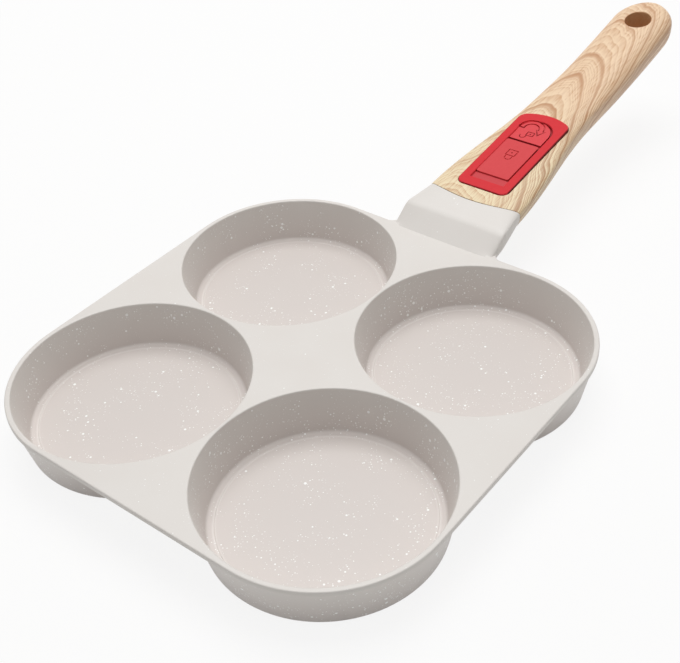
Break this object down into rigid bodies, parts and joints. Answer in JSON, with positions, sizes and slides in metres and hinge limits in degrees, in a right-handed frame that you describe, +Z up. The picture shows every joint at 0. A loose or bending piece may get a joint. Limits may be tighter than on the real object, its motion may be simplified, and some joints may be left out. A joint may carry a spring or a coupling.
{
  "type": "four-cup pancake pan",
  "caption": "Square cast pan with round pancake cups in a block, a raised neck, and a lift-off wood-grain handle locked by a sprung latch under a red thumb slide.",
  "frame": {"origin": "middle of the footprint of pan and handle together, on the hob", "axes": "+Z up, +Y along the handle from the cups to the hanging hole, +X to the right for someone at the cups who looks along the handle; left, right, front (away from the handle) and back (next to it) in the names are seen from there"},
  "size_m": [0.1894, 0.3866, 0.0577],
  "materials": {
    "coating": "satin",
    "disc_steel": "satin",
    "wood_grain": "satin",
    "bezel_red": "satin",
    "slider_red": "satin",
    "black_nylon": "matte",
    "screw_steel": "satin",
    "latch_steel": "satin",
    "spring_steel": "satin"
  },
  "bodies": {
    "pan": {"pan_body": "coating", "base_disc_back_left": "disc_steel", "base_disc_back_right": "disc_steel", "base_disc_front_left": "disc_steel", "base_disc_front_right": "disc_steel", "handle_grip": "wood_grain", "lock_bezel": "bezel_red", "bezel_screw": "screw_steel", "latch_pin": "latch_steel", "latch_spring": "spring_steel"},
    "thumb_slide": {"lock_slider": "slider_red", "slider_cam": "black_nylon", "cam_screw": "screw_steel"},
    "lock_latch": {"latch": "latch_steel"}
  },
  "joints": [
    {"name": "lock_slide", "type": "slide", "parent": "pan", "child": "thumb_slide", "axis": [0, 0.9914, 0.1305], "range_m": [0, 0.007], "stiffness_N_per_m": 150},
    {"name": "latch_pivot", "type": "hinge", "parent": "pan", "child": "lock_latch", "pos_m": [0, 0.0675, 0.0292], "axis": [-1, 0, 0], "range_deg": [0, 8.2], "deforming": ["latch_spring"]}
  ],
  "couplings": [
    {"joint": "latch_pivot", "follows": "lock_slide", "rad_per_m": 20.44}
  ]
}
